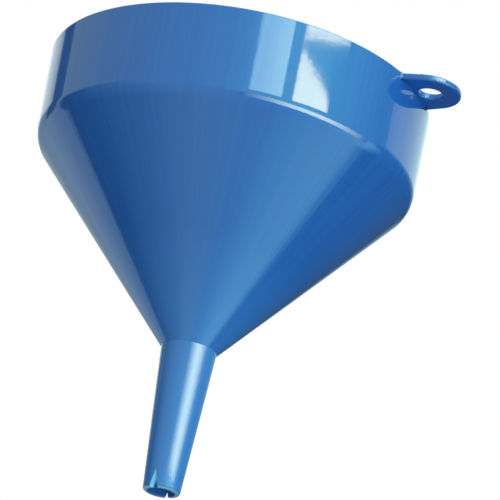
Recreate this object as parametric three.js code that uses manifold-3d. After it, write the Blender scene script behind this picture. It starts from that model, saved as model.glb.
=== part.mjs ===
// A tall-collared plastic filling funnel with a lift-out strainer.
// Units are millimetres. +Z points up along the funnel's axis and the spout points down.
// The origin is the centre of the throat, where the cone meets the spout. The hanging eyelet is on +X.
import * as THREE from "three";
import { ConvexGeometry } from "three/addons/geometries/ConvexGeometry.js";
import { mergeVertices } from "three/addons/utils/BufferGeometryUtils.js";
import Module from "manifold-3d";

// Bowl: outer sizes, and the wall measured square to its face.
// The draft is how far the collar narrows on its way down.
const rimRadius = 100;
const collarHeight = 46.2;
const collarDraft = 1.3;
const coneHeight = 99.6;
const shoulderRadius = 12.5;
const rimRound = 0.7;
const wall = 2;

// Spout: outer sizes at the throat and the tip, its wall at both, and its rounded lip.
const throatRadius = 14.25;
const tipRadius = 9.4;
const spoutLength = 76;
const spoutWallTop = 2.2;
const spoutWallTip = 2.7;
const lipRound = 1.5;

// Vent grooves: V cuts in the spout's outer wall that run out through the lip, so that air can escape.
// At the lip their ridges break through into the bore by the bite.
const ventHeight = 10.4;
const ventWidth = 6;
const ventBite = 0.8;
const ventAngles = [90, 270];

// Hanging eyelet: a flat tab flush with the rim, with straight sides, a round end and a round hole.
// The margin is the plastic between the hole and the rim.
const eyeletRootWidth = 37;
const eyeletEndOut = 5.7;
const eyeletEndRadius = 17.3;
const eyeletHoleMargin = 1.5;
const eyeletHoleRadius = 6;
const eyeletThickness = 3.6;
const eyeletEdgeRound = 0.8;

// Strainer: a tapered frame that rests in the cone, a gauze disc on its ledge and a clamp ring over it.
const frameSeatRadius = 26;
const frameHeight = 9;
const frameWall = 2;
const frameOpeningRadius = 21;
const ledgeThickness = 1.8;
const gauzeThickness = 0.7;
const clampHeight = 2.2;
const clampOpeningRadius = 21.8;
const lugWidth = 13;
const lugThickness = 2.2;
const lugRise = 13;
const lugFoot = 1;
const lugAngles = [0, 180];

// Clearances between neighbouring pieces.
const seamGap = 0.3;
const seatClearance = 0.35;
const strainerClearance = 0.3;

// How finely round shapes are cut into flats.
const bowlSides = 72;
const spoutSides = 40;
const strainerSides = 48;
const arcSteps = 6;

const rimHeight = coneHeight + collarHeight;
const collarBaseRadius = rimRadius - collarDraft;
const ventDepth = spoutWallTip + ventBite;
const eyeletHoleCentre = rimRadius + eyeletHoleMargin + eyeletHoleRadius;
const wasm = await Module();
wasm.setup();

const point = (radius, height) => new THREE.Vector2(radius, height);
const degrees = (angle) => THREE.MathUtils.degToRad(angle);

// The point where the line through a and b meets the line through c and d.
function meet(a, b, c, d) {
  const ab = b.clone().sub(a);
  const cd = d.clone().sub(c);
  const along = c.clone().sub(a).cross(cd) / ab.cross(cd);
  return a.clone().addScaledVector(ab, along);
}

// The segment a to b moved square to itself, towards the left of its direction.
function shifted(a, b, distance) {
  const side = b.clone().sub(a).normalize();
  const left = point(-side.y, side.x).multiplyScalar(distance);
  return [a.clone().add(left), b.clone().add(left)];
}

// An arc of the given radius that rounds the corner between the points before and after.
function rounded(before, corner, after, radius, steps = arcSteps) {
  const back = before.clone().sub(corner).normalize();
  const on = after.clone().sub(corner).normalize();
  const half = Math.acos(back.dot(on)) / 2;
  const middle = back.clone().add(on).normalize();
  const centre = corner.clone().addScaledVector(middle, radius / Math.sin(half));
  const start = corner.clone().addScaledVector(back, radius / Math.tan(half)).sub(centre);
  const end = corner.clone().addScaledVector(on, radius / Math.tan(half)).sub(centre);
  const sweep = Math.atan2(start.cross(end), start.dot(end));
  const arc = [];
  for (let step = 0; step <= steps; step++) {
    arc.push(start.clone().rotateAround(point(0, 0), (sweep * step) / steps).add(centre));
  }
  return arc;
}

// The part of a falling outline that lies between two heights, with new ends on both.
function between(outline, top, bottom) {
  const crossing = (height) => {
    const next = outline.findIndex((p) => p.y <= height);
    const a = outline[next - 1];
    const b = outline[next];
    return a.clone().lerp(b, (a.y - height) / (a.y - b.y));
  };
  const kept = outline.filter((p) => p.y < top && p.y > bottom);
  const head = outline[0].y <= top ? [] : [crossing(top)];
  const foot = outline[outline.length - 1].y >= bottom ? [] : [crossing(bottom)];
  return [...head, ...kept, ...foot];
}

// A closed ring turned about Z from a profile listed down its outside and back up its inside.
function turned(profile, sides) {
  const closed = [...profile, profile[0]].reverse();
  return new THREE.LatheGeometry(closed, sides).rotateX(Math.PI / 2);
}

function solid(geometry) {
  const bare = geometry.clone();
  bare.deleteAttribute("normal");
  bare.deleteAttribute("uv");
  const merged = mergeVertices(bare, 1e-4);
  return new wasm.Manifold(
    new wasm.Mesh({
      numProp: 3,
      vertProperties: merged.attributes.position.array,
      triVerts: new Uint32Array(merged.index.array),
    }),
  );
}

function geometryOf(body) {
  const mesh = body.getMesh();
  const geometry = new THREE.BufferGeometry();
  geometry.setAttribute("position", new THREE.BufferAttribute(mesh.vertProperties, 3));
  geometry.setIndex(new THREE.BufferAttribute(mesh.triVerts, 1));
  return geometry;
}

// Corner points of the funnel's outer skin, and of its inner skin one wall further in.
const rimOuter = point(rimRadius, rimHeight);
const shoulderOuter = point(collarBaseRadius, coneHeight);
const throatOuter = point(throatRadius, 0);
const tipOuter = point(tipRadius, -spoutLength);
const collarInside = shifted(rimOuter, shoulderOuter, -wall);
const coneInside = shifted(shoulderOuter, throatOuter, -wall);
const rimLine = [point(0, rimHeight), rimOuter];
const tipLine = [point(0, -spoutLength), tipOuter];
const throatBoreLine = [point(throatRadius - spoutWallTop, 0), point(throatRadius - spoutWallTop, 1)];
const rimInner = meet(...collarInside, ...rimLine);
const shoulderInner = meet(...collarInside, ...coneInside);
const throatInner = meet(...coneInside, ...throatBoreLine);
const tipInner = point(tipRadius - spoutWallTip, -spoutLength);

const outerSkin = [
  ...rounded(rimLine[0], rimOuter, shoulderOuter, rimRound, 3),
  ...rounded(rimOuter, shoulderOuter, throatOuter, shoulderRadius),
  throatOuter,
  ...rounded(throatOuter, tipOuter, tipLine[0], lipRound),
];
const innerSkin = [
  rimInner,
  ...rounded(rimInner, shoulderInner, throatInner, shoulderRadius - wall),
  throatInner,
  tipInner,
];

// The collar takes the whole rounded shoulder, so its lower edge is where the round runs into the cone.
const shoulderEnd = rounded(rimOuter, shoulderOuter, throatOuter, shoulderRadius)[arcSteps];
const seamHeight = shoulderEnd.y;

// A length of the funnel's wall between two heights.
function shell(top, bottom, sides) {
  const outside = between(outerSkin, top, bottom);
  const inside = between(innerSkin, top, bottom);
  return turned([...outside, ...inside.reverse()], sides);
}

function collar() {
  return shell(rimHeight + seamGap, seamHeight + seamGap / 2, bowlSides);
}

function cone() {
  return shell(seamHeight - seamGap / 2, seamGap / 2, bowlSides);
}

// One V cutter: its ridge starts on the outer wall above the lip and sinks inwards on its way down.
function ventCutter(angle) {
  const reach = 1.6;
  const overrun = 1.1;
  const slope = (throatRadius - tipRadius) / spoutLength;
  const top = new THREE.Vector3(tipRadius + slope * ventHeight, 0, ventHeight - spoutLength);
  const ridge = new THREE.Vector3(tipRadius - ventDepth, 0, -spoutLength);
  const edges = [1, -1].map((side) => new THREE.Vector3(tipRadius, (side * ventWidth) / 2, -spoutLength));
  const corners = [ridge, ...edges.map((edge) => edge.sub(ridge).multiplyScalar(reach).add(ridge))];
  const lowered = corners.map((corner) => corner.sub(top).multiplyScalar(overrun).add(top));
  return solid(new ConvexGeometry([top, ...lowered]).rotateZ(degrees(angle)));
}

function spout() {
  const blank = solid(shell(-seamGap / 2, -spoutLength - seamGap, spoutSides));
  return geometryOf(ventAngles.reduce((body, angle) => body.subtract(ventCutter(angle)), blank));
}

// Plan of the eyelet, drawn smaller by the round of its edges.
// Straight sides run from the collar to the round end.
function eyeletPlan() {
  const halfRoot = eyeletRootWidth / 2 - eyeletEdgeRound;
  const root = point(Math.sqrt(rimRadius ** 2 - halfRoot ** 2), halfRoot);
  const centre = point(rimRadius + eyeletEndOut, 0);
  const endRadius = eyeletEndRadius - eyeletEdgeRound;
  const toRoot = root.clone().sub(centre);
  const tangent = toRoot.angle() - Math.acos(endRadius / toRoot.length());
  const plan = new THREE.Shape();
  plan.moveTo(root.x, root.y);
  plan.lineTo(root.x, -root.y);
  plan.absarc(centre.x, centre.y, endRadius, -tangent, tangent, false);
  const hole = new THREE.Path();
  hole.absarc(eyeletHoleCentre, 0, eyeletHoleRadius + eyeletEdgeRound, 0, 2 * Math.PI, true);
  plan.holes.push(hole);
  return plan;
}

// The eyelet's root is cut to the collar's outer face, one seam gap away from it.
function hangingEyelet() {
  const flat = new THREE.ExtrudeGeometry(eyeletPlan(), {
    depth: eyeletThickness - 2 * eyeletEdgeRound,
    bevelThickness: eyeletEdgeRound,
    bevelSize: eyeletEdgeRound,
    bevelSegments: 3,
    curveSegments: 20,
  });
  flat.translate(0, 0, rimHeight - eyeletThickness + eyeletEdgeRound);
  const reach = rimRadius + seamGap;
  const collarCutter = new THREE.CylinderGeometry(reach, reach, 2 * rimHeight, 4 * bowlSides);
  return geometryOf(solid(flat).subtract(solid(collarCutter.rotateX(Math.PI / 2))));
}

// The strainer's outside is parallel to the cone's inner face. Its heights start at the frame's lower face.
const coneSlope = (collarBaseRadius - throatRadius) / coneHeight;
const squareToLevel = Math.hypot(1, coneSlope);
const frameBottom = (frameSeatRadius + (wall + seatClearance) * squareToLevel - throatRadius) / coneSlope;
const frameOutside = (rise) => frameSeatRadius + coneSlope * rise;
const frameInside = (rise) => frameOutside(rise) - frameWall * squareToLevel;
const gauzeBottom = ledgeThickness + strainerClearance;
const clampBottom = gauzeBottom + gauzeThickness + strainerClearance;

// An upright finger lug that grows out of the frame's top edge and stays inside its tapered outside.
function lug(angle) {
  const half = lugWidth / 2;
  const plan = new THREE.Shape();
  plan.moveTo(-half, -lugFoot);
  plan.lineTo(half, -lugFoot);
  plan.absarc(0, lugRise - half, half, 0, Math.PI, false);
  plan.closePath();
  const shape = { depth: lugThickness, bevelEnabled: false, curveSegments: 10 };
  const plate = new THREE.ExtrudeGeometry(plan, shape);
  plate.rotateX(Math.PI / 2).rotateZ(Math.PI / 2);
  const outerFace = Math.sqrt(frameOutside(frameHeight - lugFoot) ** 2 - half ** 2);
  plate.translate(outerFace - lugThickness, 0, frameHeight);
  return solid(plate.rotateZ(degrees(angle)));
}

function strainerFrame() {
  const ring = turned(
    [
      point(frameOutside(frameHeight), frameHeight),
      point(frameSeatRadius, 0),
      point(frameOpeningRadius, 0),
      point(frameOpeningRadius, ledgeThickness),
      point(frameInside(ledgeThickness), ledgeThickness),
      point(frameInside(frameHeight), frameHeight),
    ],
    strainerSides,
  );
  return geometryOf(lugAngles.reduce((body, angle) => body.add(lug(angle)), solid(ring)));
}

function strainerGauze() {
  const radius = frameInside(gauzeBottom) - strainerClearance;
  const disc = new THREE.CylinderGeometry(radius, radius, gauzeThickness, strainerSides);
  return disc.rotateX(Math.PI / 2).translate(0, 0, gauzeBottom + gauzeThickness / 2);
}

function strainerClampRing() {
  const outside = (rise) => frameInside(rise) - strainerClearance * squareToLevel;
  const clampTop = clampBottom + clampHeight;
  return turned(
    [
      point(outside(clampTop), clampTop),
      point(outside(clampBottom), clampBottom),
      point(clampOpeningRadius, clampBottom),
      point(clampOpeningRadius, clampTop),
    ],
    strainerSides,
  );
}

const bluePlastic = { color: 0x2f6fb5, roughness: 0.18, metalness: 0 };
const whitePlastic = { color: 0xd9dcdc, roughness: 0.35, metalness: 0 };
const steelWire = { color: 0xb9bcc0, roughness: 0.3, metalness: 1 };

function piece(name, geometry, finish) {
  const mesh = new THREE.Mesh(geometry, new THREE.MeshStandardMaterial(finish));
  mesh.name = name;
  return mesh;
}

const moulding = new THREE.Group();
moulding.add(piece("collar", collar(), bluePlastic));
moulding.add(piece("cone", cone(), bluePlastic));
moulding.add(piece("spout", spout(), bluePlastic));
moulding.add(piece("hanging_eyelet", hangingEyelet(), bluePlastic));

const strainer = new THREE.Group();
strainer.position.z = frameBottom;
strainer.add(piece("strainer_frame", strainerFrame(), whitePlastic));
strainer.add(piece("strainer_gauze", strainerGauze(), steelWire));
strainer.add(piece("strainer_clamp_ring", strainerClampRing(), whitePlastic));

const funnel = new THREE.Group();
funnel.add(moulding, strainer);

export default funnel;
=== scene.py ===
"""The looks of a plastic filling funnel with a lift-out strainer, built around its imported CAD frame.

Everything is in metres, in the CAD's frame: +Z runs up the funnel's axis, the origin is the centre of the
throat, and the hanging eyelet is on +X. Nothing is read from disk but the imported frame.
"""

import math

import bmesh
import bpy
import numpy as np
from mathutils import Matrix, Vector


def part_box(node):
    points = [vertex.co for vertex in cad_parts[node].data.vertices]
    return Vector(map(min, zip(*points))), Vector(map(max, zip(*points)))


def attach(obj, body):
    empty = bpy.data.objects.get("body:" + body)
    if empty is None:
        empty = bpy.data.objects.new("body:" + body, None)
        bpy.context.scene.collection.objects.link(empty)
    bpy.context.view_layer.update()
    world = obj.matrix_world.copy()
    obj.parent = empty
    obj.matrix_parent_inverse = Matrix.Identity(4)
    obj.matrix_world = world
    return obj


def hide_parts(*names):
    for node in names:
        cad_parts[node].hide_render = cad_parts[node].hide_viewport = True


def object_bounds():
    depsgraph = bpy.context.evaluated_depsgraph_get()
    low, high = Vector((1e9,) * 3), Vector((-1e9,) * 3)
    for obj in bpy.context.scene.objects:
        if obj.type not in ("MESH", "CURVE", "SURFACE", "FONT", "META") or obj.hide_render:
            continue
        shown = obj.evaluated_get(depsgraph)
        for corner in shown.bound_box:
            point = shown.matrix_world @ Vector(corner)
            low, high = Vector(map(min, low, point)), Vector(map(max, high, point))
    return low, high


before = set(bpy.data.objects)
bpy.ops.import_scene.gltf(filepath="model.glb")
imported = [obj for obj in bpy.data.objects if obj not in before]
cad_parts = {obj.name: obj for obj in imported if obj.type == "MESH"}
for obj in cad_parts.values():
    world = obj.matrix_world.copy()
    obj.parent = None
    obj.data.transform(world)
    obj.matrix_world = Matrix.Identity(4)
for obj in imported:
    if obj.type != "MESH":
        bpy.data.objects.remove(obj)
cad_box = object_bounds()

MM = 0.001

# ---------------------------------------------------------------- sizes that the frame gives

_, collar_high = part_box("collar")
spout_low, spout_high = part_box("spout")
eyelet_low, eyelet_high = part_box("hanging_eyelet")
cup_low, cup_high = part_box("strainer_frame")
gauze_low, gauze_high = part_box("strainer_gauze")
clamp_low, clamp_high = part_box("strainer_clamp_ring")

RIM_RADIUS = collar_high.x
RIM_HEIGHT = collar_high.z
TIP_HEIGHT = spout_low.z
THROAT_RADIUS = spout_high.x
CUP_BOTTOM = cup_low.z
CUP_LUG_TOP = cup_high.z

# ---------------------------------------------------------------- sizes that its boxes don't give

COLLAR_DRAFT = 1.3 * MM
CONE_HEIGHT = 99.6 * MM
WALL = 2 * MM
SHOULDER_ROUND = 12.5 * MM
RIM_ROUND = 0.7 * MM
RIM_INNER_ROUND = 0.4 * MM
THROAT_ROUND = 0.45 * MM
TIP_RADIUS = 9.4 * MM
LIP_ROUND = 1.5 * MM
LIP_INNER_ROUND = 0.35 * MM
SPOUT_WALL_TOP = 2.2 * MM
SPOUT_WALL_TIP = 2.7 * MM
SPOUT_SLOPE = (THROAT_RADIUS - TIP_RADIUS) / -TIP_HEIGHT

VENT_HEIGHT = 10.4 * MM
VENT_WIDTH = 6 * MM
VENT_BITE = 0.8 * MM
VENT_ANGLES = (90, 270)

TAB_ROOT_HALF = 18.5 * MM
TAB_END_RADIUS = 17.3 * MM
TAB_HOLE_MARGIN = 1.5 * MM
TAB_HOLE_RADIUS = 6 * MM
TAB_EDGE_ROUND = 1.2 * MM
TAB_HOLE_ROUND = 0.9 * MM
TAB_ROOT_FILLET = 2 * MM
TAB_HIDDEN_ROUND = 0.3 * MM

CUP_SEAT_RADIUS = 26 * MM
CUP_HEIGHT = 9 * MM
CUP_WALL = 2 * MM
CUP_OPENING = 21 * MM
CUP_LEDGE = 1.8 * MM
CUP_EDGE_ROUND = 0.5 * MM
LUG_WIDTH = 13 * MM
LUG_THICKNESS = 2.2 * MM
LUG_FOOT = 1 * MM
LUG_ANGLES = (0, 180)
LUG_EDGE_ROUND = 0.5 * MM

CLAMP_OPENING = 21.8 * MM
CLAMP_EDGE_ROUND = 0.4 * MM
WIRE_PITCH = 1.25 * MM
WIRE_RADIUS = 0.16 * MM

BOWL_SIDES = 288
CUP_SIDES = 144
BIG_ROUND_STEPS = 24
SMALL_ROUND_STEPS = 6
EDGE_STEPS = 5
FINE_EDGE_STEPS = 4
LUG_ARC_STEPS = 24
LUG_EDGE_STEPS = 4
WIRE_SIDES = 6
WIRE_STEPS_PER_PITCH = 4
FOLD_ANGLE = 1
SAME_PLACE = 1e-6
SAME_VERTEX = 1e-7
CREASE_ANGLE = 32


# ---------------------------------------------------------------- turned shapes
# A profile is a list of (point, outward normal) pairs of 2-D vectors, radius and height. It runs down a
# piece's outside and back up its inside, so outwards is always on its left.


def flat_normal(a, b):
    """The outward normal of the straight stretch from a to b."""
    along = (b - a).normalized()
    return Vector((-along.y, along.x))


def rounded(before, corner, after, radius, steps):
    """The arc that rounds a corner, as a profile."""
    back = (before - corner).normalized()
    on = (after - corner).normalized()
    half = math.acos(back.dot(on)) / 2
    centre = corner + (back + on).normalized() * radius / math.sin(half)
    start = corner + back * radius / math.tan(half) - centre
    end = corner + on * radius / math.tan(half) - centre
    sweep = math.atan2(start.cross(end), start.dot(end))
    side = 1 if start.dot(flat_normal(before, corner)) > 0 else -1
    arc = []
    for step in range(steps + 1):
        turn = Matrix.Rotation(sweep * step / steps, 2)
        spoke = Vector(turn @ start)
        arc.append((centre + spoke, spoke * side / radius))
    return arc


def round_trip(corners):
    """A closed profile through corners given as (point, radius, steps), each rounded."""
    profile = []
    for i, (corner, radius, steps) in enumerate(corners):
        before = corners[i - 1][0]
        after = corners[(i + 1) % len(corners)][0]
        profile += rounded(before, corner, after, radius, steps)
    return profile


def meet(a, b, c, d):
    """The point where the line through a and b meets the line through c and d."""
    ab = b - a
    cd = d - c
    return a + ab * ((c - a).cross(cd) / ab.cross(cd))


def shifted(a, b, distance):
    """The stretch a to b moved outwards by a distance."""
    step = flat_normal(a, b) * distance
    return a + step, b + step


def shade(mesh, normals):
    """Gives every face corner its own normal."""
    mesh.polygons.foreach_set("use_smooth", [True] * len(mesh.polygons))
    mesh.normals_split_custom_set([tuple(n) for n in normals])


def new_object(name, mesh):
    thing = bpy.data.objects.new(name, mesh)
    bpy.context.scene.collection.objects.link(thing)
    return thing


def turned(name, profile, sides, cuts=()):
    """A closed ring turned about Z. Cuts are the stretches, by their first point, that are flat cut faces."""
    count = len(profile)
    angles = [2 * math.pi * side / sides for side in range(sides)]
    spin = [(math.cos(a), math.sin(a)) for a in angles]
    vertices = [(p.x * c, p.x * s, p.y) for c, s in spin for p, _ in profile]
    faces = []
    normals = []
    for side in range(sides):
        beyond = (side + 1) % sides
        for k in range(count):
            nxt = (k + 1) % count
            faces.append((side * count + k, side * count + nxt, beyond * count + nxt, beyond * count + k))
            first, second = profile[k][1], profile[nxt][1]
            if k in cuts:
                first = second = flat_normal(profile[k][0], profile[nxt][0])
            turns = (spin[side], spin[side], spin[beyond], spin[beyond])
            for n, (c, s) in zip((first, second, second, first), turns):
                normals.append((n.x * c, n.x * s, n.y))
    mesh = bpy.data.meshes.new(name)
    mesh.from_pydata(vertices, [], faces)
    shade(mesh, normals)
    return new_object(name, mesh)


# ---------------------------------------------------------------- the funnel's two skins

rim_outer = Vector((RIM_RADIUS, RIM_HEIGHT))
shoulder_outer = Vector((RIM_RADIUS - COLLAR_DRAFT, CONE_HEIGHT))
throat_outer = Vector((THROAT_RADIUS, 0))
tip_outer = Vector((TIP_RADIUS, TIP_HEIGHT))
collar_inside = shifted(rim_outer, shoulder_outer, -WALL)
cone_inside = shifted(shoulder_outer, throat_outer, -WALL)
bore_top = Vector((THROAT_RADIUS - SPOUT_WALL_TOP, 0))
axis_top = Vector((0, RIM_HEIGHT))
axis_tip = Vector((0, TIP_HEIGHT))
rim_inner = meet(*collar_inside, axis_top, rim_outer)
shoulder_inner = meet(*collar_inside, *cone_inside)
throat_inner = meet(*cone_inside, bore_top, bore_top + Vector((0, 1)))
tip_inner = Vector((TIP_RADIUS - SPOUT_WALL_TIP, TIP_HEIGHT))

rim_out = rounded(axis_top, rim_outer, shoulder_outer, RIM_ROUND, SMALL_ROUND_STEPS)
shoulder_out = rounded(rim_outer, shoulder_outer, throat_outer, SHOULDER_ROUND, BIG_ROUND_STEPS)
throat_out = rounded(shoulder_outer, throat_outer, tip_outer, THROAT_ROUND, SMALL_ROUND_STEPS)
lip_out = rounded(throat_outer, tip_outer, axis_tip, LIP_ROUND, SMALL_ROUND_STEPS)
lip_in = rounded(tip_outer, tip_inner, throat_inner, LIP_INNER_ROUND, SMALL_ROUND_STEPS)
throat_in = rounded(tip_inner, throat_inner, shoulder_inner, THROAT_ROUND, SMALL_ROUND_STEPS)
shoulder_in = rounded(throat_inner, shoulder_inner, rim_inner, SHOULDER_ROUND - WALL, BIG_ROUND_STEPS)
rim_in = rounded(shoulder_inner, rim_inner, rim_outer, RIM_INNER_ROUND, SMALL_ROUND_STEPS)
half_round = SMALL_ROUND_STEPS // 2


def collar():
    """The collar with the whole shoulder, cut where the shoulder's round runs into the cone."""
    profile = rim_out + shoulder_out + shoulder_in + rim_in
    cut = len(rim_out) + len(shoulder_out) - 1
    return turned("collar_wall", profile, BOWL_SIDES, [cut])


def cone():
    """The cone, from the end of the shoulder's round to the middle of the throat's."""
    outside = shoulder_out[-1:] + throat_out[: half_round + 1]
    inside = throat_in[half_round:] + shoulder_in[:1]
    profile = outside + inside
    return turned("cone_wall", profile, BOWL_SIDES, [len(outside) - 1, len(profile) - 1])


# ---------------------------------------------------------------- spout


def vent_cutter(angle):
    """A V wedge whose ridge starts on the outer wall above the lip and sinks inwards on its way down."""
    reach = 1.6
    overrun = 1.1
    top = Vector((TIP_RADIUS + SPOUT_SLOPE * VENT_HEIGHT, 0, TIP_HEIGHT + VENT_HEIGHT))
    ridge = Vector((TIP_RADIUS - SPOUT_WALL_TIP - VENT_BITE, 0, TIP_HEIGHT))
    edges = [Vector((TIP_RADIUS, side * VENT_WIDTH / 2, TIP_HEIGHT)) for side in (1, -1)]
    corners = [ridge] + [ridge + (edge - ridge) * reach for edge in edges]
    lowered = [top + (corner - top) * overrun for corner in corners]
    turn = Matrix.Rotation(math.radians(angle), 3, "Z")
    mesh = bpy.data.meshes.new("vent_cutter")
    mesh.from_pydata([turn @ v for v in [top, *lowered]], [], [(0, 2, 1), (0, 1, 3), (0, 3, 2), (1, 2, 3)])
    work = bmesh.new()
    work.from_mesh(mesh)
    bmesh.ops.recalc_face_normals(work, faces=work.faces)
    work.to_mesh(mesh)
    work.free()
    return new_object("vent_cutter", mesh)


def combined(thing, tool, operation):
    """Joins or cuts a piece with a tool, which is then gone. The tool's faces get material index 1."""
    tool.data.polygons.foreach_set("material_index", [1] * len(tool.data.polygons))
    change = thing.modifiers.new("cut", "BOOLEAN")
    change.operation = operation
    change.solver = "EXACT"
    change.object = tool
    bpy.context.view_layer.update()
    graph = bpy.context.evaluated_depsgraph_get()
    made = bpy.data.meshes.new_from_object(thing.evaluated_get(graph))
    thing.modifiers.clear()
    thing.data = made
    bpy.data.objects.remove(tool)
    return thing


def skin_normals(mesh, profile, cuts):
    """A normal for each face corner: a tool's faces stay flat, and the rest follow the profile."""
    count = len(profile)
    start = np.array([profile[k][0] for k in range(count)])
    end = np.roll(start, -1, 0)
    along = end - start
    length = (along**2).sum(1)
    normals = []
    for face in mesh.polygons:
        flat = face.material_index == 1
        middle = np.array((math.hypot(face.center.x, face.center.y), face.center.z))
        share = np.clip(((middle - start) * along).sum(1) / length, 0, 1)
        gap = ((start + along * share[:, None] - middle) ** 2).sum(1)
        k = int(gap.argmin())
        for index in face.vertices:
            point = mesh.vertices[index].co
            radius = math.hypot(point.x, point.y)
            if flat or k in cuts:
                normals.append(face.normal)
                continue
            way = float(np.clip(((radius, point.z) - start[k]) @ along[k] / length[k], 0, 1))
            n = (profile[k][1] * (1 - way) + profile[(k + 1) % count][1] * way).normalized()
            normals.append((n.x * point.x / radius, n.x * point.y / radius, n.y))
    return normals


def spout():
    """The tapered tube, with its vent grooves cut and its lip rounded."""
    profile = throat_out[half_round:] + lip_out + lip_in + throat_in[: half_round + 1]
    cuts = [len(profile) - 1]
    tube = turned("spout_tube", profile, BOWL_SIDES, cuts)
    for angle in VENT_ANGLES:
        combined(tube, vent_cutter(angle), "DIFFERENCE")
    shade(tube.data, skin_normals(tube.data, profile, cuts))
    tube.data.polygons.foreach_set("material_index", [0] * len(tube.data.polygons))
    return tube


# ---------------------------------------------------------------- hanging eyelet

TAB_TOP = eyelet_high.z
TAB_BOTTOM = eyelet_low.z
TAB_END_CENTRE = Vector((eyelet_high.x - TAB_END_RADIUS, 0))
TAB_HOLE_CENTRE = Vector((RIM_RADIUS + TAB_HOLE_MARGIN + TAB_HOLE_RADIUS, 0))
TAB_END_STEPS = 56
TAB_SIDE_STEPS = 6
TAB_FILLET_STEPS = 8
TAB_ROOT_STEPS = 28
TAB_ROUND_STEPS = 6


def tab_half_outline():
    """One side of the eyelet's plan, from the middle of its end to the collar: (point, normal) pairs."""
    root = Vector((math.sqrt(RIM_RADIUS**2 - TAB_ROOT_HALF**2), TAB_ROOT_HALF))
    to_root = root - TAB_END_CENTRE
    away = math.atan2(to_root.y, to_root.x) - math.acos(TAB_END_RADIUS / to_root.length)
    side_normal = Vector((math.cos(away), math.sin(away)))
    side_start = TAB_END_CENTRE + side_normal * TAB_END_RADIUS
    inward = (root - side_start).normalized()
    # The fillet's centre is one fillet radius off the side and off the collar.
    reach = RIM_RADIUS + TAB_ROOT_FILLET
    base = side_start + side_normal * TAB_ROOT_FILLET
    along = -base.dot(inward) - math.sqrt(base.dot(inward) ** 2 - base.length_squared + reach**2)
    fillet_centre = base + inward * along
    line_end = fillet_centre - side_normal * TAB_ROOT_FILLET
    half = []
    for step in range(TAB_END_STEPS // 2 + 1):
        angle = away * step / (TAB_END_STEPS // 2)
        normal = Vector((math.cos(angle), math.sin(angle)))
        half.append((TAB_END_CENTRE + normal * TAB_END_RADIUS, normal))
    for step in range(1, TAB_SIDE_STEPS + 1):
        half.append((side_start.lerp(line_end, step / TAB_SIDE_STEPS), side_normal))
    finish = fillet_centre.normalized()
    sweep = math.atan2(side_normal.cross(finish), side_normal.dot(finish))
    for step in range(1, TAB_FILLET_STEPS + 1):
        normal = Vector(Matrix.Rotation(sweep * step / TAB_FILLET_STEPS, 2) @ side_normal)
        half.append((fillet_centre - normal * TAB_ROOT_FILLET, normal))
    return half


def tab_outline():
    """The eyelet's whole plan, anticlockwise, as (point, normal, edge round). Its root is in the collar."""
    half = tab_half_outline()
    root_radius = RIM_RADIUS - RIM_ROUND
    finish = math.atan2(half[-1][0].y, half[-1][0].x)
    outline = []
    fillet_start = len(half) - TAB_FILLET_STEPS
    for index, (point, normal) in enumerate(half):
        share = max(0, index - fillet_start + 1) / TAB_FILLET_STEPS
        outline.append((point, normal, TAB_EDGE_ROUND + (RIM_ROUND - TAB_EDGE_ROUND) * share))
    mirrored = [(Vector((p.x, -p.y)), Vector((n.x, -n.y)), e) for p, n, e in reversed(outline[1:])]
    root = []
    for step in range(TAB_ROOT_STEPS + 1):
        angle = finish * (1 - 2 * step / TAB_ROOT_STEPS)
        spoke = Vector((math.cos(angle), math.sin(angle)))
        root.append((spoke * root_radius, -spoke, TAB_HIDDEN_ROUND))
    return outline + root + mirrored


def tab_section(point, normal, edge):
    """The closed section through the eyelet at a point of its outline, from the hole's wall and back."""
    spoke = (point - TAB_HOLE_CENTRE).normalized()
    hole = TAB_HOLE_CENTRE + spoke * (TAB_HOLE_RADIUS + TAB_HOLE_ROUND)
    quarter = [math.pi / 2 * step / TAB_ROUND_STEPS for step in range(TAB_ROUND_STEPS + 1)]
    outer = point - normal * edge
    corners = (
        (hole, -spoke, TAB_HOLE_ROUND, 1, quarter),
        (outer, normal, edge, 1, quarter[::-1]),
        (outer, normal, edge, -1, quarter),
        (hole, -spoke, TAB_HOLE_ROUND, -1, quarter[::-1]),
    )
    section = []
    for centre, out, size, way, angles in corners:
        level = TAB_TOP - size if way > 0 else TAB_BOTTOM + size
        for angle in angles:
            flat = out * math.cos(angle)
            rise = way * math.sin(angle)
            at = centre + flat * size
            section.append(((at.x, at.y, level + rise * size), (flat.x, flat.y, rise)))
    return section


def eyelet():
    """The eyelet: one closed section for each point of its outline, joined into a ring round the hole."""
    sections = [tab_section(*place) for place in tab_outline()]
    count = len(sections[0])
    vertices = [position for section in sections for position, _ in section]
    faces = []
    normals = []
    for s, section in enumerate(sections):
        after = (s + 1) % len(sections)
        for k in range(count):
            nxt = (k + 1) % count
            faces.append((s * count + k, s * count + nxt, after * count + nxt, after * count + k))
            for which, corner in ((s, k), (s, nxt), (after, nxt), (after, k)):
                normals.append(sections[which][corner][1])
    mesh = bpy.data.meshes.new("eyelet_tab")
    mesh.from_pydata(vertices, [], faces)
    shade(mesh, normals)
    return new_object("eyelet_tab", mesh)


# ---------------------------------------------------------------- strainer

CONE_SLOPE = (RIM_RADIUS - COLLAR_DRAFT - THROAT_RADIUS) / CONE_HEIGHT
SQUARE_TO_LEVEL = math.hypot(1, CONE_SLOPE)


def cup_outside(rise):
    return CUP_SEAT_RADIUS + CONE_SLOPE * rise


def cup_inside(rise):
    return cup_outside(rise) - CUP_WALL * SQUARE_TO_LEVEL


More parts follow.
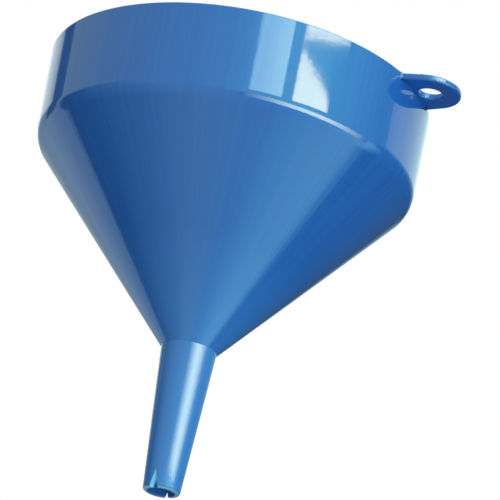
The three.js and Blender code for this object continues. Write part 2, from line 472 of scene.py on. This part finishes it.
def lug(angle):
    """An upright finger lug with a round top and rounded edges, to be joined to the cup."""
    half = LUG_WIDTH / 2
    low = CUP_BOTTOM + CUP_HEIGHT - LUG_FOOT
    centre = CUP_LUG_TOP - half
    outline = [(-half, low), (half, low)]
    for step in range(LUG_ARC_STEPS + 1):
        a = math.pi * step / LUG_ARC_STEPS
        outline.append((half * math.cos(a), centre + half * math.sin(a)))
    outer = math.sqrt(cup_outside(CUP_HEIGHT - LUG_FOOT) ** 2 - half**2)
    work = bmesh.new()
    back = [work.verts.new((outer - LUG_THICKNESS, y, z)) for y, z in outline]
    face = work.faces.new(back)
    made = bmesh.ops.extrude_face_region(work, geom=[face])["geom"]
    front = [v for v in made if isinstance(v, bmesh.types.BMVert)]
    bmesh.ops.translate(work, vec=(LUG_THICKNESS, 0, 0), verts=front)
    bmesh.ops.remove_doubles(work, verts=work.verts, dist=SAME_VERTEX)
    bmesh.ops.recalc_face_normals(work, faces=work.faces)
    sharp = [e for e in work.edges if e.calc_face_angle() > FOLD_ANGLE]
    rims = [e for e in sharp if max(v.co.z for v in e.verts) > low + SAME_PLACE]
    bmesh.ops.bevel(
        work, geom=rims, offset=LUG_EDGE_ROUND, segments=LUG_EDGE_STEPS, profile=0.5, affect="EDGES"
    )
    turn = Matrix.Rotation(math.radians(angle), 3, "Z")
    bmesh.ops.rotate(work, cent=(0, 0, 0), matrix=turn, verts=work.verts)
    mesh = bpy.data.meshes.new("lug")
    work.to_mesh(mesh)
    work.free()
    return new_object("lug", mesh)


def strainer_cup():
    """The strainer's frame: a tapered ring with a ledge for the gauze, and two finger lugs."""
    edge = CUP_EDGE_ROUND
    corners = [
        (Vector((cup_outside(CUP_HEIGHT), CUP_BOTTOM + CUP_HEIGHT)), edge, EDGE_STEPS),
        (Vector((CUP_SEAT_RADIUS, CUP_BOTTOM)), edge, EDGE_STEPS),
        (Vector((CUP_OPENING, CUP_BOTTOM)), edge, EDGE_STEPS),
        (Vector((CUP_OPENING, CUP_BOTTOM + CUP_LEDGE)), edge / 2, FINE_EDGE_STEPS),
        (Vector((cup_inside(CUP_LEDGE), CUP_BOTTOM + CUP_LEDGE)), edge / 2, FINE_EDGE_STEPS),
        (Vector((cup_inside(CUP_HEIGHT), CUP_BOTTOM + CUP_HEIGHT)), edge, EDGE_STEPS),
    ]
    cup = turned("strainer_cup", round_trip(corners), CUP_SIDES)
    for angle in LUG_ANGLES:
        combined(cup, lug(angle), "UNION")
    cup.data.polygons.foreach_set("material_index", [0] * len(cup.data.polygons))
    cup.data.polygons.foreach_set("use_smooth", [True] * len(cup.data.polygons))
    cup.data.set_sharp_from_angle(angle=math.radians(CREASE_ANGLE))
    return cup


def clamp_band():
    """The ring that holds the gauze down."""
    gap = cup_inside(clamp_low.z - CUP_BOTTOM) - clamp_radius_low()
    top = Vector((cup_inside(clamp_high.z - CUP_BOTTOM) - gap, clamp_high.z))
    foot = Vector((clamp_radius_low(), clamp_low.z))
    corners = [
        (top, CLAMP_EDGE_ROUND, EDGE_STEPS),
        (foot, CLAMP_EDGE_ROUND, EDGE_STEPS),
        (Vector((CLAMP_OPENING, clamp_low.z)), CLAMP_EDGE_ROUND, EDGE_STEPS),
        (Vector((CLAMP_OPENING, clamp_high.z)), CLAMP_EDGE_ROUND, EDGE_STEPS),
    ]
    return turned("clamp_band", round_trip(corners), CUP_SIDES)


def clamp_radius_low():
    """The clamp ring's outer radius at its foot: its box gives the radius at its top."""
    return clamp_high.x - CONE_SLOPE * (clamp_high.z - clamp_low.z)


def wire(start, end, lift, middle, phase):
    """The rings of one woven wire, which runs straight in plan and waves over and under its neighbours."""
    length = (end - start).length
    steps = max(2, round(length / WIRE_PITCH * WIRE_STEPS_PER_PITCH))
    along = (end - start) / length
    across = Vector((-along.y, along.x, 0))
    rings = []
    for step in range(steps + 1):
        at = start + along * (length * step / steps)
        wave = math.pi * (at.dot(along) / WIRE_PITCH) + phase
        height = middle + lift * math.cos(wave)
        slope = -lift * math.pi / WIRE_PITCH * math.sin(wave)
        up = Vector((0, 0, 1)) - along * slope
        up.normalize()
        ring = []
        for side in range(WIRE_SIDES):
            angle = 2 * math.pi * side / WIRE_SIDES
            spoke = across * math.cos(angle) + up * math.sin(angle)
            ring.append(Vector((at.x, at.y, height)) + spoke * WIRE_RADIUS)
        rings.append(ring)
    return rings


def gauze():
    """A round of woven wire cloth."""
    radius = gauze_high.x - WIRE_RADIUS
    middle = (gauze_low.z + gauze_high.z) / 2
    lift = (gauze_high.z - gauze_low.z) / 2 - WIRE_RADIUS
    vertices = []
    faces = []
    half_count = int(radius / WIRE_PITCH)
    for direction in (0, 1):
        for number in range(-half_count, half_count + 1):
            offset = number * WIRE_PITCH
            reach = math.sqrt(radius**2 - offset**2)
            if reach < 2 * WIRE_PITCH:
                continue
            ends = [Vector((sign * reach, offset, 0)) for sign in (-1, 1)]
            if direction:
                ends = [Vector((-p.y, p.x, 0)) for p in ends]
            phase = math.pi * (number + direction)
            rings = wire(ends[0], ends[1], lift, middle, phase)
            first = len(vertices)
            for ring in rings:
                vertices += ring
            for r in range(len(rings) - 1):
                for s in range(WIRE_SIDES):
                    a = first + r * WIRE_SIDES + s
                    b = first + r * WIRE_SIDES + (s + 1) % WIRE_SIDES
                    faces.append((a, b, b + WIRE_SIDES, a + WIRE_SIDES))
            last = first + (len(rings) - 1) * WIRE_SIDES
            faces.append(tuple(first + s for s in reversed(range(WIRE_SIDES))))
            faces.append(tuple(last + s for s in range(WIRE_SIDES)))
    mesh = bpy.data.meshes.new("strainer_mesh")
    mesh.from_pydata(vertices, [], faces)
    mesh.polygons.foreach_set("use_smooth", [len(f) == 4 for f in faces])
    return new_object("strainer_mesh", mesh)


# ---------------------------------------------------------------- materials


class Nodes:
    """Short ways to add shader nodes to a tree."""

    def __init__(self, tree):
        self.tree = tree

    def add(self, kind, settings=None, **inputs):
        node = self.tree.nodes.new(kind)
        for key, value in (settings or {}).items():
            setattr(node, key, value)
        for key, value in inputs.items():
            self.plug(node.inputs[key.replace("_", " ")], value)
        return node

    def plug(self, socket, value):
        if isinstance(value, bpy.types.NodeSocket):
            self.tree.links.new(value, socket)
        else:
            socket.default_value = value

    def math(self, operation, a, b=0.0, c=0.0):
        node = self.add("ShaderNodeMath", {"operation": operation})
        for socket, value in zip(node.inputs, (a, b, c)):
            self.plug(socket, value)
        return node.outputs[0]

    def dot(self, vector, direction):
        node = self.add("ShaderNodeVectorMath", {"operation": "DOT_PRODUCT"})
        self.plug(node.inputs[0], vector)
        self.plug(node.inputs[1], direction)
        return node.outputs["Value"]

    def mix(self, share, first, second):
        node = self.add("ShaderNodeMix", {"data_type": "RGBA"})
        for index, value in ((0, share), (6, first), (7, second)):
            self.plug(node.inputs[index], value)
        return node.outputs[2]

    def ramp(self, place, stops):
        node = self.add("ShaderNodeValToRGB", Fac=place)
        elements = node.color_ramp.elements
        for position, _ in stops[2:]:
            elements.new(position)
        for element, (position, colour) in zip(elements, stops):
            element.position = position
            element.color = (*colour, 1)
        return node.outputs["Color"]

    def noise(self, vector, scale, detail=2.0):
        node = self.add("ShaderNodeTexNoise", Scale=scale, Detail=detail, Roughness=0.5)
        self.plug(node.inputs["Vector"], vector)
        return node.outputs["Fac"]

    def spread(self, value, low, high, to_low=0.0, to_high=1.0):
        node = self.add("ShaderNodeMapRange", {"clamp": True})
        limits = (("From Min", low), ("From Max", high), ("To Min", to_low), ("To Max", to_high))
        for key, number in limits:
            node.inputs[key].default_value = number
        self.plug(node.inputs["Value"], value)
        return node.outputs["Result"]

    def place(self):
        return self.add("ShaderNodeTexCoord").outputs["Object"]

    def round_axis(self):
        """The distance from the funnel's axis, and the height."""
        x, y, z = self.add("ShaderNodeSeparateXYZ", Vector=self.place()).outputs
        squares = self.math("ADD", self.math("MULTIPLY", x, x), self.math("MULTIPLY", y, y))
        return self.math("SQRT", squares), z

    def flow(self, turns, along):
        """Coordinates that follow the funnel's sides: the way from the axis, and the height stretched."""
        x, y, z = self.add("ShaderNodeSeparateXYZ", Vector=self.place()).outputs
        safe = self.math("MAXIMUM", self.round_axis()[0], 1e-5)
        return self.add(
            "ShaderNodeCombineXYZ",
            X=self.math("MULTIPLY", self.math("DIVIDE", x, safe), turns),
            Y=self.math("MULTIPLY", self.math("DIVIDE", y, safe), turns),
            Z=self.math("MULTIPLY", z, along),
        ).outputs[0]

    def bump(self, height, distance, after=None):
        node = self.add("ShaderNodeBump", Strength=1.0, Distance=distance, Height=height)
        if after is not None:
            self.plug(node.inputs["Normal"], after)
        return node.outputs["Normal"]


class MaterialNodes(Nodes):
    """A new material's nodes, with its surface shader at hand."""

    def __init__(self, name):
        self.material = bpy.data.materials.new(name)
        self.material.use_nodes = True
        super().__init__(self.material.node_tree)
        self.surface = self.tree.nodes["Principled BSDF"]


WALL_BLUES = ((0.0140, 0.141, 0.515, 1), (0.0185, 0.158, 0.550, 1))
# painted light: a paler blue painted down the spout, a glow of light shining through its thin wall
SPOUT_GLOW_BLUE = (0.034, 0.212, 0.62, 1)
# painted light: a pale cyan painted round the lip and in the vent grooves, a glow of light through the cut
# plastic
LIP_GROOVE_GLOW_BLUE = (0.20, 0.66, 0.95, 1)
STREAK_FLOW = (34, 5)
SCRATCH_FLOW = (90, 40)
SCRATCH_LEVELS = (0.62, 0.72)
SCUFFED_HAZE = (0.5, 0.7)
BLUE_HAZE_SCALE = 14.0
HAZE_IN_TONE = 0.4
TONE_LEVELS = (0.5, 0.9)
PEEL_SCALE = 420.0
# the heights over which the painted spout glow comes in, from none on the cone to full down the spout
SPOUT_GLOW_HEIGHTS = (48 * MM, -4 * MM)
# the depths under the spout's outer skin, and the heights near the tip, where the painted lip and groove glow
# lies
LIP_GROOVE_GLOW_DEPTH_START = (0.1 * MM, 0.6 * MM)
LIP_GROOVE_GLOW_DEPTH_END = (2.3 * MM, 1.9 * MM)
LIP_GROOVE_GLOW_HEIGHTS = (TIP_HEIGHT + 14 * MM, TIP_HEIGHT + 11 * MM)
GLOSS_ROUGHNESS = (0.055, 0.09)
SCUFF_ROUGHNESS = 0.10
STREAK_RELIEF = 0.035 * MM
PEEL_RELIEF = 0.012 * MM
PLASTIC_IOR = 1.5


def moulded_blue():
    """Glossy blue moulded plastic, with faint flow lines down its sides, a slight orange peel and light
    scuffs.
    Painted light: its blue is painted paler down the spout, round its lip and in its grooves, a painted glow
    of light shining through the thin plastic."""
    n = MaterialNodes("moulded_blue")
    streaks = n.noise(n.flow(*STREAK_FLOW), 1.0)
    haze = n.noise(n.place(), BLUE_HAZE_SCALE, 3.0)
    peel = n.noise(n.place(), PEEL_SCALE)
    scratches = n.noise(n.flow(*SCRATCH_FLOW), 1.0)
    scuffs = n.math("MULTIPLY", n.spread(scratches, *SCRATCH_LEVELS), n.spread(haze, *SCUFFED_HAZE))
    tone = n.spread(n.math("ADD", n.math("MULTIPLY", haze, HAZE_IN_TONE), streaks), *TONE_LEVELS)
    radius, height = n.round_axis()
    # painted light: the wall's blue is painted paler down the spout, a glow of light through the thin plastic
    wall = n.mix(n.spread(height, *SPOUT_GLOW_HEIGHTS), n.mix(tone, *WALL_BLUES), SPOUT_GLOW_BLUE)
    # painted light: pale cyan painted where the spout's outer skin is cut away, round the lip and in the
    # grooves
    depth = n.math("SUBTRACT", n.math("MULTIPLY_ADD", height, SPOUT_SLOPE, THROAT_RADIUS), radius)
    lip_groove_glow = n.math("MULTIPLY", n.spread(depth, *LIP_GROOVE_GLOW_DEPTH_START), n.spread(depth, *LIP_GROOVE_GLOW_DEPTH_END))
    lip_groove_glow = n.math("MULTIPLY", lip_groove_glow, n.spread(height, *LIP_GROOVE_GLOW_HEIGHTS))
    n.plug(n.surface.inputs["Base Color"], n.mix(lip_groove_glow, wall, LIP_GROOVE_GLOW_BLUE))
    rough = n.spread(haze, 0.35, 0.7, *GLOSS_ROUGHNESS)
    rough = n.math("ADD", rough, n.math("MULTIPLY", scuffs, SCUFF_ROUGHNESS))
    n.plug(n.surface.inputs["Roughness"], rough)
    normal = n.bump(peel, PEEL_RELIEF, after=n.bump(streaks, STREAK_RELIEF))
    n.plug(n.surface.inputs["Normal"], normal)
    n.surface.inputs["IOR"].default_value = PLASTIC_IOR
    return n.material


SATIN_WHITES = ((0.66, 0.68, 0.67, 1), (0.74, 0.755, 0.745, 1))
SATIN_ROUGHNESS = (0.34, 0.46)
GRAIN_RELIEF = 0.02 * MM
GRAIN_SCALE = 2600.0
WHITE_HAZE_SCALE = 60.0


def satin_white():
    """Satin white moulded plastic with a fine spark-eroded grain."""
    n = MaterialNodes("satin_white")
    grain = n.noise(n.place(), GRAIN_SCALE)
    haze = n.noise(n.place(), WHITE_HAZE_SCALE, 3.0)
    tone = n.spread(haze, 0.35, 0.65)
    n.plug(n.surface.inputs["Base Color"], n.mix(tone, *SATIN_WHITES))
    n.plug(n.surface.inputs["Roughness"], n.spread(haze, 0.3, 0.7, *SATIN_ROUGHNESS))
    n.plug(n.surface.inputs["Normal"], n.bump(grain, GRAIN_RELIEF))
    n.surface.inputs["IOR"].default_value = PLASTIC_IOR
    return n.material


STEEL_GREYS = ((0.47, 0.48, 0.49, 1), (0.60, 0.61, 0.62, 1))
STEEL_ROUGHNESS = (0.22, 0.38)
DRAWING_RELIEF = 0.006 * MM
DRAWING_SCALE = 5200.0
DULLING_SCALE = 240.0


def drawn_steel():
    """Drawn stainless wire, with fine marks and a little dulling."""
    n = MaterialNodes("drawn_steel")
    marks = n.noise(n.place(), DRAWING_SCALE)
    dull = n.noise(n.place(), DULLING_SCALE)
    tone = n.spread(dull, 0.35, 0.65)
    n.plug(n.surface.inputs["Base Color"], n.mix(tone, *STEEL_GREYS))
    n.plug(n.surface.inputs["Roughness"], n.spread(dull, 0.3, 0.7, *STEEL_ROUGHNESS))
    n.plug(n.surface.inputs["Normal"], n.bump(marks, DRAWING_RELIEF))
    n.surface.inputs["Metallic"].default_value = 1
    return n.material


def pale_floor():
    n = MaterialNodes("pale_floor")
    speckle = n.noise(n.place(), 30.0, 3.0)
    n.plug(n.surface.inputs["Roughness"], n.spread(speckle, 0.3, 0.7, 0.7, 0.8))
    n.surface.inputs["Base Color"].default_value = (0.8, 0.8, 0.8, 1)
    return n.material


# ---------------------------------------------------------------- pieces
# Each piece stands for one node and rides on its body.

blue = moulded_blue()
white = satin_white()
steel = drawn_steel()

for make, node, body, slot, finish in (
    (collar, "collar", "funnel", "blue_plastic", blue),
    (cone, "cone", "funnel", "blue_plastic", blue),
    (spout, "spout", "funnel", "blue_plastic", blue),
    (eyelet, "hanging_eyelet", "funnel", "blue_plastic", blue),
    (strainer_cup, "strainer_frame", "strainer", "white_plastic", white),
    (gauze, "strainer_gauze", "strainer", "steel_wire", steel),
    (clamp_band, "strainer_clamp_ring", "strainer", "white_plastic", white),
):
    piece = make()
    piece.data.materials.clear()
    piece.data.materials.append(finish)
    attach(piece, body)
    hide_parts(node)

# ---------------------------------------------------------------- stage, light and camera


def toward(azimuth, elevation):
    """The direction at an azimuth, anticlockwise from +X, and an elevation, in degrees."""
    a, e = math.radians(azimuth), math.radians(elevation)
    return Vector((math.cos(a) * math.cos(e), math.sin(a) * math.cos(e), math.sin(e)))


FLOOR_DROP = 4.0
FLOOR_HALF = 40.0
middle = (cad_box[0] + cad_box[1]) / 2


def floor():
    drop = cad_box[0].z - FLOOR_DROP
    mesh = bpy.data.meshes.new("floor")
    corners = [(x * FLOOR_HALF, y * FLOOR_HALF, drop) for x, y in ((-1, -1), (1, -1), (1, 1), (-1, 1))]
    mesh.from_pydata(corners, [], [(0, 1, 2, 3)])
    mesh.materials.append(pale_floor())
    ground = new_object("floor", mesh)
    ground.visible_glossy = False
    ground.visible_diffuse = False


# ---------------------------------------------------------------- surround
# The surround is one even studio, written as what a direction holds. A bearing is an azimuth counted from the
# camera's side, anticlockwise from above, so the seam of the bearings lies behind the funnel.

CAMERA_AZIMUTH = -63.0
HORIZON_BLUR = 4.0


def side(bearing, elevation, facing, softness):
    """One edge of a patch: a line through a bearing and an elevation. Its inside lies at an angle, in
    degrees, from the way that bearings grow: 90 is upwards."""
    return bearing, elevation, facing, softness


def upright_patch(low, high, foot, top, softness):
    """The four edges of a patch with upright sides."""
    return [
        side(low, 0, 0, softness),
        side(high, 0, 180, softness),
        side(0, foot, 90, softness),
        side(0, top, -90, softness),
    ]


# What gloss mirrors above the horizon and below it, going round: (bearing, colour). The sweep is white paper
# that takes a little of the funnel's blue, with darker room beyond its ends.
UPPER_RING = (
    (-180, (0.40, 0.50, 0.60)),
    (-138, (0.50, 0.75, 0.9)),
    (-124, (0.60, 0.85, 0.9)),
    (-100, (0.85, 1.05, 0.9)),
    (-40, (0.85, 1.15, 0.85)),
    (-10, (0.93, 1.7, 1.2)),
    (5, (1.1, 2.6, 2.0)),
    (40, (1.4, 4.2, 3.4)),
    (55, (0.85, 3.2, 2.6)),
    (66, (0.8, 2.4, 1.9)),
    (80, (0.6, 1.5, 1.2)),
    (96, (0.3, 0.8, 0.6)),
    (180, (0.30, 0.42, 0.55)),
)
LOWER_RING = (
    (-180, (0.40, 0.48, 0.60)),
    (-135, (0.80, 1.15, 1.5)),
    (-120, (0.72, 1.0, 1.3)),
    (-60, (0.55, 0.7, 0.5)),
    (-35, (0.88, 1.15, 0.6)),
    (-10, (0.85, 1.2, 0.8)),
    (15, (0.63, 1.1, 1.0)),
    (35, (0.75, 1.6, 1.6)),
    (70, (1.25, 2.8, 2.8)),
    (110, (1.15, 2.5, 2.6)),
    (180, (0.6, 1.0, 1.3)),
)
# The patches laid over the rings, in order: (colour, edges).
PATCHES = (
    # the window's left light, brighter towards the bar
    ((4.9, 8.6, 7.8), upright_patch(6, 25, 19.5, 27, 0.5)),
    (
        (7.6, 12.2, 9.6),
        [side(20, 0, 0, 8), side(25, 0, 180, 0.5), side(0, 19.5, 90, 0.5), side(0, 27, -90, 0.5)],
    ),
    # the white sheets to the right and the left, and the dark gap below the right one
    ((1.08, 1.42, 1.3), [side(105.5, 0, 0, 0.7), side(0, 18, 90, 2)]),
    ((1.15, 1.35, 1.4), [side(-141, 0, 180, 3), side(0, 17, 90, 2)]),
    ((0.08, 0.1, 0.1), [side(94, 0, 0, 5), side(0, 12, -90, 3)]),
    # the dark gap to the left: a narrow upright band, and a wide one down from just above the horizon
    ((0.10, 0.15, 0.3), [side(-138, 0, 0, 0.5), side(-125.5, 0, 180, 0.5), side(0, 2, 90, 4)]),
    (
        (0.10, 0.08, 0.1),
        [side(-120, 0, 0, 1.5), side(-80, 0, 180, 22), side(0, 16, -90, 3), side(-100, -42, 70, 8)],
    ),
    # the lamps overhead
    ((4.5, 5.8, 5.8), [side(0, 45, 90, 8)]),
)
# Bright paper near the funnel, cut out as (azimuth, height in mm) round its axis: two sharp pieces for the
# collar, and a wide one for the spout, cut into strips, that fades to both sides.
CARD_DISTANCE = 0.45
SHARP_CARDS = (
    ((-34, 283), (-27, 286), (-21, 288), (-14, 291), (-8, 295), (-9, 299), (-34, 305)),
    (
        *((-34.2, 275), (-32, 273), (-27, 267), (-22, 262), (-19.5, 259), (-17, 256), (-14.6, 253)),
        *((-13.5, 230), (-34.2, 230)),
    ),
)
SHARP_GLOW = (15.5, 17, 11)
FADING_GLOW = (11.5, 14.5, 10)
FADING_EDGES = range(-62, 16, 3)
FADING_HEIGHTS = (10, 115)
FADE_IN = (-62, -30)
FADE_OUT = (14, -16)


def glow(name, colour, fading):
    """Plain light paper, or paper whose light fades round the funnel's axis."""
    material = bpy.data.materials.new(name)
    material.use_nodes = True
    n = Nodes(material.node_tree)
    n.tree.nodes.remove(n.tree.nodes["Principled BSDF"])
    lamp = n.add("ShaderNodeEmission", Color=(*colour, 1))
    if fading:
        x, y, _ = n.add("ShaderNodeSeparateXYZ", Vector=n.place()).outputs
        azimuth = n.math("DEGREES", n.math("ARCTAN2", y, x))
        fade = n.math("MULTIPLY", n.spread(azimuth, *FADE_IN), n.spread(azimuth, *FADE_OUT))
        n.plug(lamp.inputs["Strength"], fade)
    n.plug(n.tree.nodes["Material Output"].inputs["Surface"], lamp.outputs[0])
    return material


def card(name, outline, material):
    """A piece of paper that only gloss mirrors."""
    mesh = bpy.data.meshes.new(name)
    points = [(*(toward(a, 0) * CARD_DISTANCE).xy, h * MM) for a, h in outline]
    mesh.from_pydata(points, [], [tuple(range(len(points)))])
    mesh.materials.append(material)
    paper = new_object(name, mesh)
    paper.visible_camera = False
    paper.visible_diffuse = False
    paper.visible_shadow = False
    paper.visible_transmission = False


def cards():
    sharp = glow("card_sharp", SHARP_GLOW, False)
    for number, outline in enumerate(SHARP_CARDS):
        card(f"card_{number}", outline, sharp)
    fading = glow("card_fading", FADING_GLOW, True)
    foot, top = FADING_HEIGHTS
    for number, (a, b) in enumerate(zip(FADING_EDGES, FADING_EDGES[1:])):
        card(f"card_fading_{number}", ((a, foot), (b, foot), (b, top), (a, top)), fading)


KEY_AZIMUTH = -33
KEY_ELEVATION = 6
KEY_SLOPE = 0.97
LIT_LEVEL = 0.36
LIT_FLOOR = 0.05
BACK_AZIMUTH = 117
BACK_ELEVATION = 10
BACK_LIGHT = 1.5
BACK_FOCUS = 5


def surround():
    """The world: white to the camera, rings and patches to gloss, and a soft slope of light to the rest."""
    world = bpy.data.worlds.new("surround")
    bpy.context.scene.world = world
    world.use_nodes = True
    n = Nodes(world.node_tree)
    toward_sky = n.add("ShaderNodeTexCoord").outputs["Generated"]
    a = math.radians(CAMERA_AZIMUTH)
    ahead = n.dot(toward_sky, (math.cos(a), math.sin(a), 0))
    across = n.dot(toward_sky, (-math.sin(a), math.cos(a), 0))
    bearing = n.math("DEGREES", n.math("ARCTAN2", across, ahead))
    rise = n.math("DEGREES", n.math("ARCSINE", n.dot(toward_sky, (0, 0, 1))))
    place = n.spread(bearing, -180, 180)
    mirrored = n.mix(
        n.spread(rise, -HORIZON_BLUR, HORIZON_BLUR),
        n.ramp(place, [((b + 180) / 360, colour) for b, colour in LOWER_RING]),
        n.ramp(place, [((b + 180) / 360, colour) for b, colour in UPPER_RING]),
    )
    for colour, edges in PATCHES:
        cover = 1.0
        for at, height, facing, softness in edges:
            turn = math.radians(facing)
            inside = n.math("MULTIPLY", n.math("SUBTRACT", bearing, at), math.cos(turn))
            inside = n.math("MULTIPLY_ADD", n.math("SUBTRACT", rise, height), math.sin(turn), inside)
            cover = n.math("MULTIPLY", n.spread(inside, -softness, softness), cover)
        mirrored = n.mix(cover, mirrored, (*colour, 1))
    key = n.dot(toward_sky, toward(KEY_AZIMUTH, KEY_ELEVATION) * KEY_SLOPE)
    back = n.math("MAXIMUM", n.dot(toward_sky, toward(BACK_AZIMUTH, BACK_ELEVATION)), 0)
    back = n.math("MULTIPLY", n.math("POWER", back, BACK_FOCUS), BACK_LIGHT)
    lit = n.math("ADD", n.math("MAXIMUM", n.math("ADD", key, LIT_LEVEL), LIT_FLOOR), back)
    rays = n.add("ShaderNodeLightPath")
    other = n.mix(rays.outputs["Is Glossy Ray"], lit, mirrored)
    seen = n.mix(rays.outputs["Is Camera Ray"], other, (1, 1, 1, 1))
    n.plug(n.tree.nodes["Background"].inputs["Color"], seen)


CAMERA_AIM = middle + Vector((0.0069, 0.0097, 0.0250))
CAMERA_ELEVATION = -21.4
CAMERA_DISTANCE = 1.5934
CAMERA_ROLL = 10.8
CAMERA_LENS = 224.2


def camera():
    data = bpy.data.cameras.new("camera")
    data.lens = CAMERA_LENS
    data.sensor_width = 36
    data.clip_start = 0.1
    data.clip_end = 50
    eye = bpy.data.objects.new("camera", data)
    bpy.context.scene.collection.objects.link(eye)
    direction = toward(CAMERA_AZIMUTH, CAMERA_ELEVATION)
    eye.location = CAMERA_AIM + direction * CAMERA_DISTANCE
    level = direction.to_track_quat("Z", "Y").to_matrix()
    eye.matrix_world = Matrix.Translation(eye.location) @ (
        level @ Matrix.Rotation(math.radians(CAMERA_ROLL), 3, "Z")
    ).to_4x4()
    bpy.context.scene.camera = eye


floor()
surround()
cards()
camera()
bpy.context.scene.view_settings.view_transform = "Standard"
bpy.context.scene.view_settings.look = "None"
